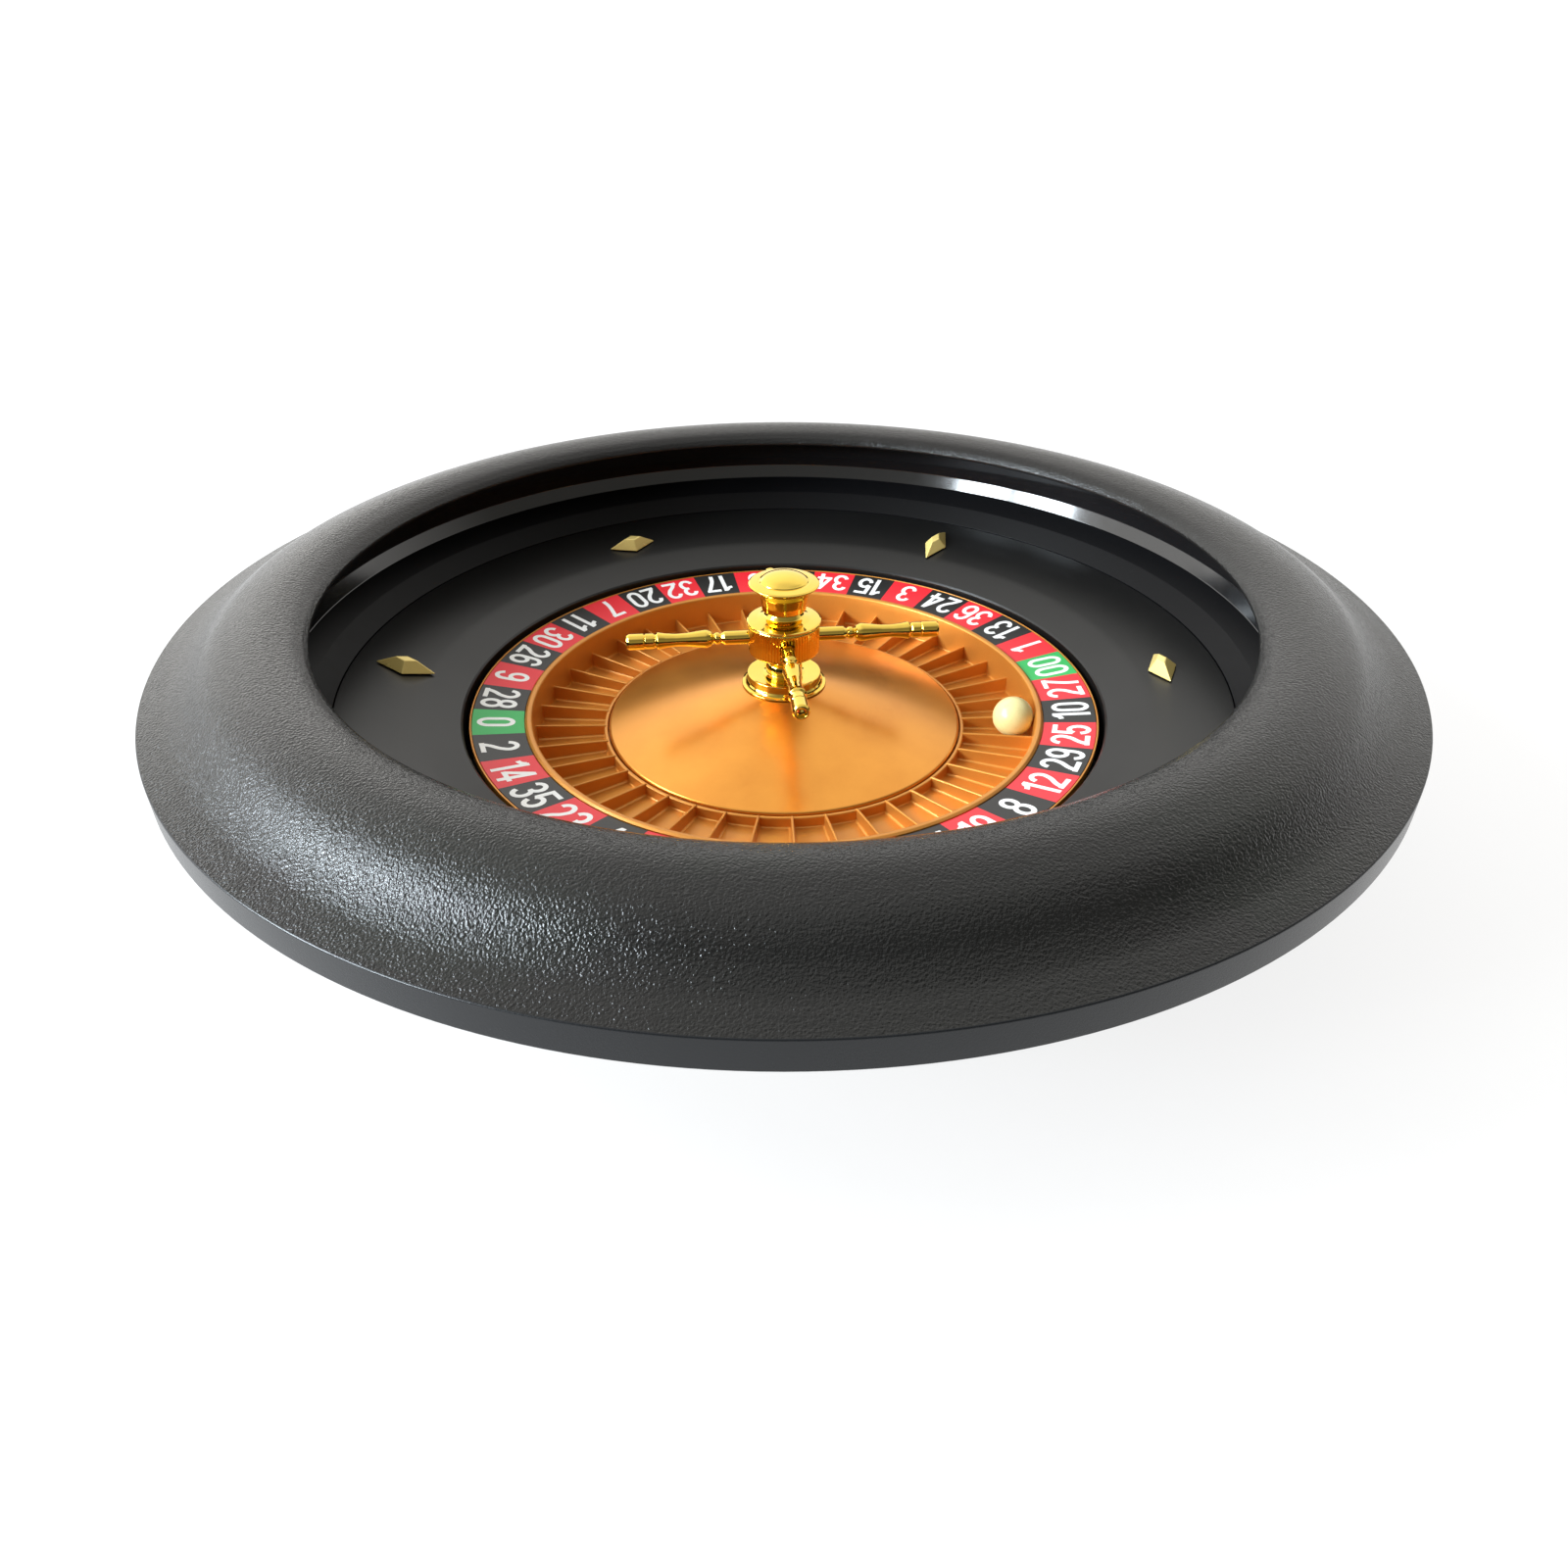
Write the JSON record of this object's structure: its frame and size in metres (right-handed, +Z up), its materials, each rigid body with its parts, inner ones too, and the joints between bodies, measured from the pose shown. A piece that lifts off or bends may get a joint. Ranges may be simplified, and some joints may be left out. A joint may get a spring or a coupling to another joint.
{
  "type": "roulette wheel",
  "caption": "Tabletop roulette wheel: black moulded bowl with diamond studs, a gold rotor with numbered pockets on bearings, a gold turret with handles, and a ball.",
  "frame": {"origin": "on the surface that the feet stand on, under the middle of the wheel, on the rotor's axis", "axes": "+Z up along the rotor's axis; +X to the viewer's right and +Y away from the viewer"},
  "size_m": [0.508, 0.508, 0.1068],
  "materials": {
    "grained_black": "fine sand grain moulded into black ABS, soft sheen",
    "gloss_black": "polished black ABS",
    "matte_black": "smooth matte dark grey ABS",
    "rubber_black": "moulded rubber",
    "satin_gold": "ABS sprayed in satin orange gold metallic paint",
    "bright_gold": "polished and gold plated",
    "pale_brass": "pale gold plated casting",
    "printed_numbers": "printed ring, red, black and green sectors with white numerals",
    "bright_steel": "ground steel",
    "zinc": "zinc plated fasteners",
    "cream": "polished cream resin"
  },
  "bodies": {
    "bowl": {"rim_shell": "grained_black", "ball_track": "gloss_black", "apron": "matte_black", "base_pan": "matte_black", "rim_screw_1": "zinc", "rim_screw_2": "zinc", "rim_screw_3": "zinc", "rim_screw_4": "zinc", "rim_screw_5": "zinc", "rim_screw_6": "zinc", "foot_1": "rubber_black", "foot_2": "rubber_black", "foot_3": "rubber_black", "foot_4": "rubber_black", "foot_screw_1": "zinc", "foot_screw_2": "zinc", "foot_screw_3": "zinc", "foot_screw_4": "zinc", "deflector_1": "pale_brass", "deflector_2": "pale_brass", "deflector_3": "pale_brass", "deflector_4": "pale_brass", "deflector_5": "pale_brass", "deflector_6": "pale_brass", "spindle": "bright_steel", "spindle_washer": "zinc", "spindle_nut": "zinc", "spindle_retaining_ring": "bright_steel", "bearing_spacer": "bright_steel", "lower_inner_race": "bright_steel", "upper_inner_race": "bright_steel"},
    "rotor": {"rotor_dish": "satin_gold", "number_ring": "printed_numbers", "fret_ring": "satin_gold", "rotor_cone": "satin_gold", "hub_housing": "matte_black", "hub_screw_1": "zinc", "hub_screw_2": "zinc", "hub_screw_3": "zinc", "hub_screw_4": "zinc", "lower_outer_race": "bright_steel", "upper_outer_race": "bright_steel", "turret_base": "bright_gold", "turret_rod": "bright_steel", "turret_nut": "zinc", "turret_drum": "bright_gold", "turret_collar": "bright_gold", "turret_cap": "bright_gold", "handle_1": "bright_gold", "handle_2": "bright_gold", "handle_3": "bright_gold", "handle_4": "bright_gold"},
    "lower_cage": {"lower_ball_cage": "bright_steel"},
    "upper_cage": {"upper_ball_cage": "bright_steel"},
    "ball": {"ball": "cream"}
  },
  "joints": [
    {"name": "rotor_spin", "type": "hinge", "parent": "bowl", "child": "rotor", "pos_m": [0, 0, 0.0263], "axis": [0, 0, 1], "continuous": true},
    {"name": "lower_cage_spin", "type": "hinge", "parent": "bowl", "child": "lower_cage", "pos_m": [0, 0, 0.0197], "axis": [0, 0, 1], "continuous": true},
    {"name": "upper_cage_spin", "type": "hinge", "parent": "bowl", "child": "upper_cage", "pos_m": [0, 0, 0.0329], "axis": [0, 0, 1], "continuous": true},
    {"name": "ball_lift", "type": "slide", "parent": "rotor", "child": "ball", "axis": [0, 0, 1], "range_m": [0, 0.12]}
  ],
  "couplings": [
    {"joint": "lower_cage_spin", "follows": "rotor_spin", "ratio": 0.585},
    {"joint": "upper_cage_spin", "follows": "rotor_spin", "ratio": 0.585}
  ]
}
